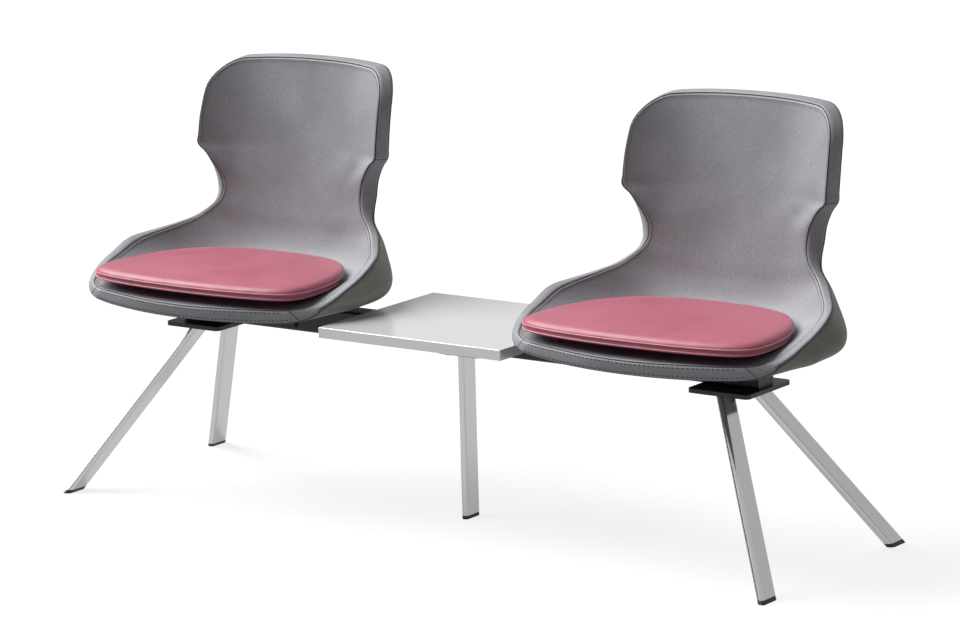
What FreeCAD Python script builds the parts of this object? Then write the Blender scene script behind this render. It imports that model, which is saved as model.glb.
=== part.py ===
# Beam seating: two upholstered shell seats and a small table on one beam, on five legs.
# +X runs along the beam, -Y is the side the seats face, +Z is up.
# The origin is on the floor, under the middle of the beam. All lengths are millimetres.

import FreeCAD, Part
import math
import os
from FreeCAD import Vector

# Overall layout
SEAT_PITCH = 1010.0
SEAT_TOP_Z = 814.0
BEAM_TOP_Z = 376.0

# Beam
BEAM_WIDTH = 50.0
BEAM_HEIGHT = 50.0
BEAM_WALL = 3.0
BEAM_CORNER = 5.0
BEAM_LENGTH = 1320.0
END_CAP_PLATE = 3.0
END_CAP_PLUG = 16.0

# Legs: flat-sided tube with round edges
LEG_WIDTH = 45.0
LEG_THICKNESS = 14.0
LEG_WALL = 2.0
FOOT_X = 799.0
FOOT_Y = 224.0
LEG_TOP_X = 606.0
LEG_TOP_Y = 48.0
HEAD_PLATE = 8.0
HEAD_LENGTH = 130.0
HEAD_WIDTH = 150.0
HEAD_CORNER = 10.0
HEAD_BOLT_SPACING_X = 60.0
HEAD_BOLT_SPACING_Y = 26.0
FLANGE_PLATE = 6.0
FLANGE_LENGTH = 90.0
FLANGE_WIDTH = 70.0
FLANGE_BOLT_SPACING_X = 64.0
FLANGE_BOLT_SPACING_Y = 26.0
GLIDE_HEIGHT = 7.0
GLIDE_PLUG = 18.0
GLIDE_CLEARANCE = 0.2

# Table
TABLE_LENGTH = 418.0
TABLE_DEPTH = 367.0
TABLE_TOP_Z = 381.5
TABLE_SKIRT = 20.0
TABLE_SHEET = 2.5
TABLE_CORNER = 1.5
TABLE_NOTCH_CLEARANCE = 1.0
TABLE_PLATE_LENGTH = 260.0
TABLE_PLATE_WIDTH = 120.0
TABLE_SCREW_SPACING_X = 200.0

# Fasteners
BOLT_D = 8.0
BOLT_HEAD_D = 13.0
BOLT_HEAD_H = 5.0
SCREW_D = 5.0
HOLE_CLEARANCE = 0.3

# Seat shell: layers counted from the face that the sitter touches
PANEL_T = 2.0
FOAM_T = 11.0
SKIN_T = 4.0
BORDER_T = 3.0
TOOL_REACH = 26.0
PRISM = 1200.0
TOP_CORNER_R = 70.0
TOP_HALF_WIDTH = 228.0
TOP_SIDE_Z = 807.0
TOP_STEP = 75.0
FRONT_CENTRE_Y = -238.0
FRONT_CORNER_Y = -196.0
FRONT_CORNER_X = 262.0
FRONT_CORNER_R = 26.0
FRONT_FLANK_X = 55.0
FRONT_FLANK_Y = 90.0
BACK_RECLINE = 14.0
BEND_R = 95.0
BACK_TOP_Y = 212.0
PAN_Z = 410.0

# Seat pad
PAD_HALF_WIDTH = 247.0
PAD_CENTRE_Y = -180.0
PAD_REAR_Y = 112.0
PAD_FRONT_Y = -229.0
PAD_REAR_POWER = 3.0
PAD_FRONT_POWER = 2.5
PAD_TOP_Z = 456.0
PAD_EDGE = 25.0
PAD_TUCK = 30.0
PAD_CROWN = 4.0
PAD_CROWN_INSET = 26.0
PAD_ROLL = 7.0
PAD_STEPS = 12
PAD_BASE_T = 3.0
PAD_BASE_INSET = 130.0
PAD_REST = 0.8

# Seat carrier: a plate under the shell, held to the beam by four angles
CARRIER_T = 4.0
CARRIER_LENGTH = 300.0
CARRIER_WIDTH = 150.0
CARRIER_CORNER = 18.0
CARRIER_POCKET = 1.0
CARRIER_BOLT_X = 133.0
CARRIER_BOLT_Y = 52.0
CARRIER_BOLT_LENGTH = 14.0
ANGLE_SPACING = 200.0
ANGLE_WIDTH = 40.0
ANGLE_T = 5.0
ANGLE_DROP = 42.0
ANGLE_FOOT = 34.0
ANGLE_BOLT_Y = 44.0
CROSS_BOLT_Z = 353.0
NUT_H = 6.5


class Station:
    """One cross-section of the shell: where it stands and how it bends."""

    def __init__(self, y, z, tilt, half, rise, power, thick, flare, depth, round_back, bulge):
        self.y = y
        self.z = z
        self.tilt = tilt
        self.half = half
        self.rise = rise
        self.power = power
        self.thick = thick
        self.flare = flare
        self.depth = depth
        self.round_back = round_back
        self.bulge = bulge


def back_point(z):
    """Centre line of the back: a straight line leaning back."""
    return BACK_TOP_Y - math.tan(math.radians(BACK_RECLINE)) * (SEAT_TOP_Z - z)


BEND_Z = PAN_Z + BEND_R
BEND_Y = back_point(BEND_Z) - BEND_R / math.cos(math.radians(BACK_RECLINE))


def bend_point(angle):
    """Centre line of the bend between pan and back, angle from straight down."""
    turn = math.radians(angle)
    return BEND_Y + BEND_R * math.sin(turn), BEND_Z - BEND_R * math.cos(turn)


# y, z, tilt of the section plane, half width at the seam, rise of the rim, power of the
# cross curve, thickness, flare and depth of the edge band, roundness and bulge behind
WING_CORNER = Station(back_point(646), 646, 2, 218, 60, 2.6, 33, 10, 33, 1.2, 0)
BACK_STATIONS = [
    Station(back_point(845), 845, 0, 200, 28, 3.0, 33, 13, 25, 1.2, 0),
    Station(back_point(805), 805, 0, 206, 47, 3.0, 33, 13, 25, 1.2, 0),
    Station(back_point(763), 763, 0, 212, 59, 2.8, 33, 13, 26, 1.2, 0),
    Station(back_point(705), 705, 0, 217, 64, 2.6, 33, 12, 28, 1.2, 0),
    WING_CORNER,
]
SEAT_STATIONS = [
    WING_CORNER,
    Station(back_point(627), 627, 6, 202, 54, 2.6, 33, 14, 31, 1.2, 0),
    Station(back_point(606), 606, 10, 188, 46, 2.5, 33, 19, 27, 1.2, 0),
    Station(back_point(562), 562, 27, 171, 28, 2.4, 32, 25, 22, 1.3, 0),
    Station(back_point(538), 538, 40, 170, 26, 2.4, 32, 23, 20, 1.4, 4),
    Station(back_point(515), 515, 45, 177, 29, 2.5, 32, 21, 16, 1.6, 8),
    Station(*bend_point(75), 44, 206, 40, 2.8, 32, 20, 10, 1.9, 14),
    Station(*bend_point(50), 50, 233, 63, 3.2, 32, 20, 5, 2.2, 22),
    Station(*bend_point(22), 60, 258, 73, 3.8, 33, 20, 0, 2.4, 34),
    Station(25, 410, 65, 277, 65, 4.2, 33, 20, -5, 2.6, 40),
    Station(-56, 410, 79, 284, 37, 4.5, 32, 20, -4, 2.6, 34),
    Station(-104, 410, 90, 283, 24, 4.5, 32, 19, -1, 2.6, 28),
    Station(-134, 410, 90, 278, 13, 4.5, 31, 18, 2, 2.8, 22),
    Station(-163, 410, 90, 266, 4, 4.2, 31, 17, 6, 3.0, 18),
    Station(-190, 409, 90, 246, 1, 4.0, 30, 16, 10, 3.2, 14),
    Station(-238, 406, 90, 212, 1, 4.0, 29, 16, 12, 3.4, 10),
    Station(-290, 398, 90, 190, 1, 4.0, 28, 16, 12, 3.6, 8),
]
CURVE_STEPS = 12


def section_point(st, x, depth):
    """A point of a section plane: x across, depth measured outwards."""
    turn = math.radians(st.tilt)
    return Vector(x, st.y + depth * math.cos(turn), st.z - depth * math.sin(turn))


def inner_curve(st, v):
    """Face side: flat in the middle, rising to the rim by a power of v."""
    return v * st.half, -st.rise * abs(v) ** st.power


def outer_curve(st, v):
    """Back side: falls from the outer edge of the band, more roundly under the seat."""
    turn = abs(v) * math.pi / 2
    edge = st.depth - st.rise
    x = (st.half + st.flare) * math.sin(turn) ** (2 / st.power) + st.bulge * math.sin(2 * turn)
    depth = edge + (st.thick - edge) * math.cos(turn) ** (2 / st.round_back)
    return math.copysign(x, v), depth


def layer_points(st, offset_in, offset_out):
    """Points of the curve that lies offset_in behind the face or offset_out before the back."""
    share = offset_in / st.thick if offset_out is None else 1 - offset_out / st.thick
    points = []
    for step in range(-CURVE_STEPS, CURVE_STEPS + 1):
        v = step / CURVE_STEPS
        x1, d1 = inner_curve(st, v)
        x2, d2 = outer_curve(st, v)
        points.append(section_point(st, x1 + share * (x2 - x1), d1 + share * (d2 - d1)))
    return points


def spline(points):
    curve = Part.BSplineCurve()
    curve.interpolate(points)
    return curve.toShape()


def section_wire(st, near, far):
    """Closed outline of one layer in one section, from depth near to depth far."""
    a = layer_points(st, *near)
    b = layer_points(st, *far)
    edges = [
        spline(a),
        Part.makeLine(a[-1], b[-1]),
        spline(b[::-1]),
        Part.makeLine(b[0], a[0]),
    ]
    return Part.Wire(edges)


def layer_halves(near, far):
    """One layer of the shell: two lofts that meet in the fold at the wing corners."""
    return [Part.makeLoft([section_wire(st, near, far) for st in stations], True, False)
            for stations in (BACK_STATIONS, SEAT_STATIONS)]


def layer_inside(near, far, tools):
    """One layer, cut to what the edge band wraps."""
    back, seat = [half.common(tool) for half, tool in zip(layer_halves(near, far), tools)]
    return back.fuse(seat)


def tool_wire(st):
    """Outline of what lies inside the edge band, in one section, open past both faces."""
    length = math.hypot(st.flare, st.depth)
    across = Vector(st.flare / length, st.depth / length, 0)
    inward = Vector(-across.y, across.x, 0) * BORDER_T
    seam = Vector(st.half, -st.rise, 0) + inward
    edge = seam + across * (length + TOOL_REACH)
    face = -st.rise - 2 * TOOL_REACH
    back = st.thick + 2 * TOOL_REACH
    side = [(seam.x, face), (seam.x, seam.y), (edge.x, edge.y), (edge.x, back)]
    ring = side + [(-x, depth) for x, depth in side[::-1]]
    points = [section_point(st, x, depth) for x, depth in ring]
    return Part.makePolygon(points + points[:1])


def inside_band():
    """All that the edge band wraps: two cutting tools that meet at the wing corners."""
    back = Part.makeLoft([tool_wire(st) for st in BACK_STATIONS], True, False)
    seat = Part.makeLoft([tool_wire(st) for st in SEAT_STATIONS], True, False)
    return [trimmed(back, BORDER_T), trimmed(seat, BORDER_T)]


def top_outline(margin):
    """Front view of the back: a slightly arched top with round corners, as a deep prism."""
    half = TOP_HALF_WIDTH - margin
    top = SEAT_TOP_Z - margin
    side = TOP_SIDE_Z - margin
    r = TOP_CORNER_R - margin
    k = r * (1 - math.sqrt(0.5))
    y = -PRISM
    low = side - TOP_STEP
    right = [
        Part.Arc(Vector(half, y, side - r), Vector(half - k, y, side - k), Vector(half - r, y, side)).toShape(),
        Part.makeLine(Vector(half, y, low), Vector(half, y, side - r)),
        Part.makeLine(Vector(PRISM, y, low), Vector(half, y, low)),
        Part.makeLine(Vector(PRISM, y, -PRISM), Vector(PRISM, y, low)),
    ]
    left = [edge.mirror(Vector(0, 0, 0), Vector(1, 0, 0)) for edge in right]
    arch = Part.Arc(Vector(r - half, y, side), Vector(0, y, top), Vector(half - r, y, side)).toShape()
    floor = Part.makeLine(Vector(-PRISM, y, -PRISM), Vector(PRISM, y, -PRISM))
    ring = Part.Wire(Part.__sortEdges__(right + left + [arch, floor]))
    return Part.Face(ring).extrude(Vector(0, 2 * PRISM, 0))


def front_outline(margin):
    """Plan view of the seat front: a shallow arc with round corners, as a tall prism."""
    front = FRONT_CENTRE_Y + margin
    corner = Vector(FRONT_CORNER_X - margin, FRONT_CORNER_Y + margin, 0)
    flank = corner + Vector(FRONT_FLANK_X, FRONT_FLANK_Y, 0)
    arc = Part.Arc(Vector(-corner.x, corner.y, 0), Vector(0, front, 0), corner).toShape()
    edges = [
        arc,
        Part.makeLine(corner, flank),
        Part.makeLine(flank, Vector(PRISM, flank.y, 0)),
        Part.makeLine(Vector(PRISM, flank.y, 0), Vector(PRISM, PRISM, 0)),
        Part.makeLine(Vector(PRISM, PRISM, 0), Vector(-PRISM, PRISM, 0)),
        Part.makeLine(Vector(-PRISM, PRISM, 0), Vector(-PRISM, flank.y, 0)),
        Part.makeLine(Vector(-PRISM, flank.y, 0), Vector(-flank.x, flank.y, 0)),
        Part.makeLine(Vector(-flank.x, flank.y, 0), Vector(-corner.x, corner.y, 0)),
    ]
    prism = Part.Face(Part.Wire(edges)).extrude(Vector(0, 0, 2 * PRISM))
    near = [e for e in prism.Edges if upright_at(e, corner.x, corner.y)]
    prism = prism.makeFillet(FRONT_CORNER_R - margin, near)
    prism.translate(Vector(0, 0, -PRISM))
    return prism


def upright_at(edge, x, y):
    """True for an upright edge that stands at plus or minus x and at y."""
    a = edge.Vertexes[0].Point
    b = edge.Vertexes[-1].Point
    return (abs(a.x - b.x) < 0.01 and abs(a.y - b.y) < 0.01
            and abs(abs(a.x) - x) < 0.01 and abs(a.y - y) < 0.01)


def trimmed(shape, margin):
    return shape.common(top_outline(margin)).common(front_outline(margin))


def box(x0, x1, y0, y1, z0, z1):
    return Part.makeBox(x1 - x0, y1 - y0, z1 - z0, Vector(x0, y0, z0))


def rounded_plate(length, width, thickness, corner, z):
    """Flat plate centred on the origin in plan, its underside at z."""
    plate = box(-length / 2, length / 2, -width / 2, width / 2, z, z + thickness)
    upright = [e for e in plate.Edges if abs(e.Vertexes[0].Z - e.Vertexes[-1].Z) > thickness / 2]
    return plate.makeFillet(corner, upright)


def rod(d, length, at, direction=Vector(0, 0, 1)):
    return Part.makeCylinder(d / 2, length, at, direction)


def four(x, y):
    """The four corners of a rectangle with half sides x and y."""
    return [Vector(i * x, j * y, 0) for i in (-1, 1) for j in (-1, 1)]


def moved(shape, x=0.0, y=0.0, z=0.0):
    copy = shape.copy()
    copy.translate(Vector(x, y, z))
    return copy


def save(name, *solids):
    shape = solids[0] if len(solids) == 1 else Part.makeCompound(list(solids))
    shape.exportStep("parts/" + name + ".step")


def hexagon(height):
    """Six-sided prism that hangs down from the origin."""
    corner = Vector(BOLT_HEAD_D / math.sqrt(3), 0, 0)
    ring = [FreeCAD.Rotation(Vector(0, 0, 1), 60 * i).multVec(corner) for i in range(7)]
    return Part.Face(Part.makePolygon(ring)).extrude(Vector(0, 0, -height))


def hex_bolt(z_face, length):
    """Bolt on the Z axis: head under z_face, shank of the given length above it."""
    bolt = hexagon(BOLT_HEAD_H).fuse(rod(BOLT_D, length, Vector(0, 0, 0))).removeSplitter()
    return moved(bolt, z=z_face)


# Beam

def square_tube(side_y, side_z, corner, length):
    axis = BEAM_TOP_Z - BEAM_HEIGHT / 2
    bar = box(-length / 2, length / 2, -side_y / 2, side_y / 2, axis - side_z / 2, axis + side_z / 2)
    return bar.makeFillet(corner, [e for e in bar.Edges if abs(e.Length - length) < 0.01])


def beam_bottom():
    return BEAM_TOP_Z - BEAM_HEIGHT


def make_beam():
    outer = square_tube(BEAM_WIDTH, BEAM_HEIGHT, BEAM_CORNER, BEAM_LENGTH)
    bore = square_tube(BEAM_WIDTH - 2 * BEAM_WALL, BEAM_HEIGHT - 2 * BEAM_WALL,
                       BEAM_CORNER - BEAM_WALL, BEAM_LENGTH + 2)
    tube = outer.cut(bore)
    for x in cross_bolt_places():
        tube = tube.cut(rod(BOLT_D + HOLE_CLEARANCE, 2 * BEAM_WIDTH,
                            Vector(x, -BEAM_WIDTH, CROSS_BOLT_Z), Vector(0, 1, 0)))
    for at in head_bolt_places() + flange_bolt_places():
        tube = tube.cut(rod(BOLT_D, 3 * BEAM_WALL, Vector(at.x, at.y, beam_bottom() - BEAM_WALL)))
    for at in four(TABLE_SCREW_SPACING_X / 2, 0)[::2]:
        tube = tube.cut(rod(SCREW_D, 3 * BEAM_WALL, Vector(at.x, 0, BEAM_TOP_Z - 2 * BEAM_WALL)))
    return tube


def make_end_cap():
    """Cap for the +X end: a plate over the tube and a plug inside it."""
    end = BEAM_LENGTH / 2
    plate = square_tube(BEAM_WIDTH, BEAM_HEIGHT, BEAM_CORNER, 2 * END_CAP_PLATE)
    plug = square_tube(BEAM_WIDTH - 2 * BEAM_WALL - 2 * GLIDE_CLEARANCE,
                       BEAM_HEIGHT - 2 * BEAM_WALL - 2 * GLIDE_CLEARANCE,
                       BEAM_CORNER - BEAM_WALL, 2 * END_CAP_PLUG)
    reach = 2 * BEAM_WIDTH
    plate = plate.common(box(0, reach, -reach, reach, 0, 2 * BEAM_TOP_Z))
    plug = plug.common(box(-reach, 0, -reach, reach, 0, 2 * BEAM_TOP_Z))
    return moved(plate.fuse(plug), x=end)


def cross_bolt_places():
    return [side * SEAT_PITCH / 2 + offset * ANGLE_SPACING / 2 for side in (-1, 1) for offset in (-1, 1)]


def head_bolt_places():
    return [Vector(side * LEG_TOP_X, 0, 0) + at for side in (-1, 1)
            for at in four(HEAD_BOLT_SPACING_X / 2, HEAD_BOLT_SPACING_Y / 2)]


def flange_bolt_places():
    return four(FLANGE_BOLT_SPACING_X / 2, FLANGE_BOLT_SPACING_Y / 2)


# Legs

def head_plate_bottom():
    return beam_bottom() - HEAD_PLATE


def leg_profile(at, along, wide, inset):
    """Flat-sided section with round edges, at a point, square to the leg."""
    half = LEG_WIDTH / 2 - LEG_THICKNESS / 2
    r = LEG_THICKNESS / 2 - inset
    thin = along.cross(wide).normalize()
    a = at - wide * half
    b = at + wide * half
    edges = [
        Part.makeLine(a + thin * r, b + thin * r),
        Part.Arc(b + thin * r, b + wide * r, b - thin * r).toShape(),
        Part.makeLine(b - thin * r, a - thin * r),
        Part.Arc(a - thin * r, a - wide * r, a + thin * r).toShape(),
    ]
    return Part.Face(Part.Wire(edges))


def leg_bar(top, foot, inset, z0, z1):
    """Bar of the leg's section along the line from top to foot, cut level at z0 and z1."""
    along = (foot - top).normalize()
    wide = Vector(0, 1, 0) - along * along.y
    wide.normalize()
    over = 3 * LEG_WIDTH
    start = top - along * over
    face = leg_profile(start, along, wide, inset)
    bar = face.extrude(along * ((foot - top).Length + 2 * over))
    reach = 2 * FOOT_X
    return bar.common(box(-reach, reach, -reach, reach, z0, z1))


def make_leg(top, foot, z_top):
    outer = leg_bar(top, foot, 0.0, GLIDE_HEIGHT, z_top)
    return outer.cut(leg_bar(top, foot, LEG_WALL, -LEG_WIDTH, z_top + LEG_WIDTH))


def make_glide(top, foot):
    pad = leg_bar(top, foot, 0.0, 0.0, GLIDE_HEIGHT)
    plug = leg_bar(top, foot, LEG_WALL + GLIDE_CLEARANCE, GLIDE_HEIGHT, GLIDE_HEIGHT + GLIDE_PLUG)
    return pad.fuse(plug)


def make_head_plate():
    plate = rounded_plate(HEAD_LENGTH, HEAD_WIDTH, HEAD_PLATE, HEAD_CORNER, head_plate_bottom())
    for at in four(HEAD_BOLT_SPACING_X / 2, HEAD_BOLT_SPACING_Y / 2):
        hole = rod(BOLT_D + HOLE_CLEARANCE, 3 * HEAD_PLATE, at)
        plate = plate.cut(moved(hole, z=beam_bottom() - 2 * HEAD_PLATE))
    return plate


def make_flange():
    z = beam_bottom() - FLANGE_PLATE
    plate = rounded_plate(FLANGE_LENGTH, FLANGE_WIDTH, FLANGE_PLATE, HEAD_CORNER, z)
    for at in flange_bolt_places():
        hole = rod(BOLT_D + HOLE_CLEARANCE, 3 * FLANGE_PLATE, at)
        plate = plate.cut(moved(hole, z=z - FLANGE_PLATE))
    return plate


# Table

def make_table_top():
    """Sheet folded down on four sides, with a notch at each end for the beam."""
    x = TABLE_LENGTH / 2
    y = TABLE_DEPTH / 2
    z = TABLE_TOP_Z
    s = TABLE_SHEET
    tray = box(-x, x, -y, y, z - TABLE_SKIRT, z)
    rims = [e for e in tray.Edges if min(v.Z for v in e.Vertexes) > z - 0.01
            or abs(e.Vertexes[0].Z - e.Vertexes[-1].Z) > 0.01]
    tray = tray.makeFillet(TABLE_CORNER, rims)
    tray = tray.cut(box(s - x, x - s, s - y, y - s, z - 2 * TABLE_SKIRT, z - s))
    half = BEAM_WIDTH / 2 + TABLE_NOTCH_CLEARANCE
    notch = box(-PRISM, PRISM, -half, half, z - 2 * TABLE_SKIRT, BEAM_TOP_Z + TABLE_NOTCH_CLEARANCE)
    return tray.cut(notch)


def make_table_plate():
    """Mounting plate between the beam and the sheet of the table."""
    thickness = TABLE_TOP_Z - TABLE_SHEET - BEAM_TOP_Z
    plate = rounded_plate(TABLE_PLATE_LENGTH, TABLE_PLATE_WIDTH, thickness, CARRIER_CORNER, BEAM_TOP_Z)
    for x in (-TABLE_SCREW_SPACING_X / 2, TABLE_SCREW_SPACING_X / 2):
        plate = plate.cut(rod(SCREW_D, 3 * thickness, Vector(x, 0, BEAM_TOP_Z - thickness)))
    return plate


# Seat pad

def half_outline(half, centre, reach, power, z):
    """Half of a squared ellipse from +X round to -X, towards centre + reach."""
    points = []
    for step in range(2 * PAD_STEPS + 1):
        turn = math.pi * step / (2 * PAD_STEPS)
        x = math.copysign(half * abs(math.cos(turn)) ** (2 / power), math.cos(turn))
        points.append(Vector(x, centre + reach * math.sin(turn) ** (2 / power), z))
    return points


def pad_outline(inset, z):
    """Plan outline of the pad: a long full curve behind and a shallow one in front."""
    half = PAD_HALF_WIDTH - inset
    rear = half_outline(half, PAD_CENTRE_Y, PAD_REAR_Y - PAD_CENTRE_Y - inset, PAD_REAR_POWER, z)
    front = half_outline(half, PAD_CENTRE_Y, PAD_FRONT_Y - PAD_CENTRE_Y + inset, PAD_FRONT_POWER, z)
    curve = Part.BSplineCurve()
    curve.interpolate(Points=rear[:-1] + front[:0:-1], PeriodicFlag=True)
    return Part.Wire([curve.toShape()])


def pad_base_z():
    return PAN_Z + PAD_REST


def make_pad_cushion():
    """Cushion: a low crown, rolled edges, a side that tucks in and a belly on the board."""
    low = PAD_TOP_Z - PAD_EDGE
    layers = [
        (3 * PAD_CROWN_INSET, PAD_TOP_Z + PAD_CROWN),
        (PAD_CROWN_INSET, PAD_TOP_Z + PAD_CROWN / 2),
        (PAD_ROLL, PAD_TOP_Z),
        (0.0, PAD_TOP_Z - PAD_ROLL),
        (PAD_TUCK, low + PAD_ROLL / 2),
        (PAD_TUCK + PAD_CROWN_INSET, low),
        (PAD_BASE_INSET, pad_base_z() + PAD_BASE_T),
    ]
    return Part.makeLoft([pad_outline(inset, z) for inset, z in layers], True, True)


def make_pad_base():
    outline = Part.Face(pad_outline(PAD_BASE_INSET, pad_base_z()))
    return outline.extrude(Vector(0, 0, PAD_BASE_T))


# Seat carrier

def make_carrier():
    plate = rounded_plate(CARRIER_LENGTH, CARRIER_WIDTH, CARRIER_T, CARRIER_CORNER, BEAM_TOP_Z)
    for at in four(CARRIER_BOLT_X, CARRIER_BOLT_Y):
        plate = plate.cut(moved(rod(BOLT_D + HOLE_CLEARANCE, 3 * CARRIER_T, at), z=BEAM_TOP_Z - CARRIER_T))
    for at in four(ANGLE_SPACING / 2, ANGLE_BOLT_Y):
        plate = plate.cut(moved(rod(BOLT_D, 3 * CARRIER_T, at), z=BEAM_TOP_Z - CARRIER_T))
    return plate


def make_angle():
    """Angle on the +Y side of the beam: one leg on the tube, the other under the carrier."""
    y = BEAM_WIDTH / 2
    z = BEAM_TOP_Z
    x = ANGLE_WIDTH / 2
    upright = box(-x, x, y, y + ANGLE_T, z - ANGLE_DROP, z)
    foot = box(-x, x, y, y + ANGLE_FOOT, z - ANGLE_T, z)
    angle = upright.fuse(foot).removeSplitter()
    hole_d = BOLT_D + HOLE_CLEARANCE
    angle = angle.cut(rod(hole_d, 3 * ANGLE_T, Vector(0, y - ANGLE_T, CROSS_BOLT_Z), Vector(0, 1, 0)))
    return angle.cut(rod(hole_d, 3 * ANGLE_T, Vector(0, ANGLE_BOLT_Y, z - 2 * ANGLE_T)))


def carrier_pocket():
    """What the shell gives up for the carrier plate and its bolts."""
    pocket = rounded_plate(CARRIER_LENGTH + 2 * CARRIER_POCKET, CARRIER_WIDTH + 2 * CARRIER_POCKET,
                           2 * BEAM_HEIGHT, CARRIER_CORNER, BEAM_TOP_Z + CARRIER_T - 2 * BEAM_HEIGHT)
    for at in four(CARRIER_BOLT_X, CARRIER_BOLT_Y):
        pocket = pocket.fuse(rod(BOLT_D, CARRIER_BOLT_LENGTH, at + Vector(0, 0, BEAM_TOP_Z)))
    return pocket


def make_border_band(tools):
    halves = [trimmed(half, 0.0) for half in layer_halves((0.0, None), (0.0, 0.0))]
    back, seat = [half.cut(tool) for half, tool in zip(halves, tools)]
    return back.fuse(seat)


def make_shell_pieces():
    """The upholstered shell, piece by piece, from the sitter's face to the back."""
    tools = inside_band()
    pocket = carrier_pocket()
    foam_back = PANEL_T + FOAM_T
    return {
        "border_band": make_border_band(tools),
        "inner_cover": layer_inside((0.0, None), (PANEL_T, None), tools),
        "foam_layer": layer_inside((PANEL_T, None), (foam_back, None), tools),
        "moulded_shell": layer_inside((foam_back, None), (0.0, SKIN_T), tools).cut(pocket),
        "outer_cover": layer_inside((0.0, SKIN_T), (0.0, 0.0), tools).cut(pocket),
    }


def make_seat_pieces():
    pieces = make_shell_pieces()
    pieces["seat_pad_cushion"] = make_pad_cushion()
    pieces["seat_pad_base"] = make_pad_base()
    pieces["seat_carrier"] = make_carrier()
    return pieces


def along_y(bolt):
    """Turn a bolt from the Z axis to the Y axis, head towards the front."""
    turned = bolt.copy()
    turned.rotate(Vector(0, 0, 0), Vector(1, 0, 0), -90)
    return turned


def cross_bolt():
    """Through bolt at x = 0: head on the front angle, shank across the beam and both angles."""
    face = BEAM_WIDTH / 2 + ANGLE_T
    bolt = along_y(hex_bolt(0.0, 2 * face + NUT_H + 1))
    return moved(bolt, y=-face, z=CROSS_BOLT_Z)


def cross_nut():
    face = BEAM_WIDTH / 2 + ANGLE_T
    nut = moved(along_y(hexagon(NUT_H)), y=face + NUT_H, z=CROSS_BOLT_Z)
    return nut.cut(rod(BOLT_D, 3 * NUT_H, Vector(0, face - NUT_H, CROSS_BOLT_Z), Vector(0, 1, 0)))


def write_frame():
    save("beam_tube", make_beam())
    cap = make_end_cap()
    save("beam_end_cap_right", cap)
    save("beam_end_cap_left", cap.mirror(Vector(0, 0, 0), Vector(1, 0, 0)))
    z_top = head_plate_bottom()
    for side, x in (("left", -1), ("right", 1)):
        plate = make_head_plate()
        save("leg_head_plate_" + side, moved(plate, x=x * LEG_TOP_X))
        bolts = [moved(hex_bolt(z_top, HEAD_PLATE + 2 * BEAM_WALL), at.x, at.y)
                 for at in head_bolt_places() if at.x * x > 0]
        save("leg_head_bolts_" + side, *bolts)
        for end, y in (("front", -1), ("rear", 1)):
            top = Vector(x * LEG_TOP_X, y * LEG_TOP_Y, z_top)
            foot = Vector(x * FOOT_X, y * FOOT_Y, 0)
            save("leg_" + end + "_" + side, make_leg(top, foot, z_top))
            save("glide_" + end + "_" + side, make_glide(top, foot))
    top = Vector(0, 0, beam_bottom() - FLANGE_PLATE)
    foot = Vector(0, 0, 0)
    save("centre_leg", make_leg(top, foot, top.z))
    save("glide_centre", make_glide(top, foot))
    save("centre_leg_flange", make_flange())
    bolts = [moved(hex_bolt(top.z, FLANGE_PLATE + 2 * BEAM_WALL), at.x, at.y) for at in flange_bolt_places()]
    save("centre_leg_bolts", *bolts)


def write_table():
    save("table_top", make_table_top())
    save("table_plate", make_table_plate())
    thickness = TABLE_TOP_Z - TABLE_SHEET - BEAM_TOP_Z
    screws = [rod(SCREW_D, thickness + 2 * BEAM_WALL, Vector(x, 0, BEAM_TOP_Z - 2 * BEAM_WALL))
              for x in (-TABLE_SCREW_SPACING_X / 2, TABLE_SCREW_SPACING_X / 2)]
    save("table_screws", *screws)


def write_seats():
    pieces = make_seat_pieces()
    angle = make_angle()
    front_angle = angle.mirror(Vector(0, 0, 0), Vector(0, 1, 0))
    ear_face = BEAM_TOP_Z - ANGLE_T
    for side, x in (("left", -SEAT_PITCH / 2), ("right", SEAT_PITCH / 2)):
        for name, shape in pieces.items():
            save(name + "_" + side, moved(shape, x=x))
        places = (("inner", -1), ("outer", 1))
        for place, way in places:
            shift = x + math.copysign(ANGLE_SPACING / 2, x) * way
            save("seat_angle_front_" + place + "_" + side, moved(front_angle, x=shift))
            save("seat_angle_rear_" + place + "_" + side, moved(angle, x=shift))
        spots = (x - ANGLE_SPACING / 2, x + ANGLE_SPACING / 2)
        save("cross_bolts_" + side, *[moved(cross_bolt(), x=spot) for spot in spots])
        save("cross_nuts_" + side, *[moved(cross_nut(), x=spot) for spot in spots])
        ear_bolts = [moved(hex_bolt(ear_face, ANGLE_T + CARRIER_T), x + at.x, at.y)
                     for at in four(ANGLE_SPACING / 2, ANGLE_BOLT_Y)]
        save("angle_bolts_" + side, *ear_bolts)
        shell_bolts = [moved(hex_bolt(BEAM_TOP_Z, CARRIER_BOLT_LENGTH), x + at.x, at.y)
                       for at in four(CARRIER_BOLT_X, CARRIER_BOLT_Y)]
        save("shell_bolts_" + side, *shell_bolts)


os.makedirs("parts", exist_ok=True)
write_frame()
write_table()
write_seats()
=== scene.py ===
# Beam seating: two upholstered shell seats and a small table on one beam with five legs.
# Lengths are metres unless a name or a comment says millimetres. +X runs along the beam, -Y
# is the side that the seats face, +Z is up. A seat's pieces are worked out with x = 0 in the
# middle of the seat, and are then moved to the seat's place along the beam.

import math
import bpy
import numpy as np
from mathutils import Matrix


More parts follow.
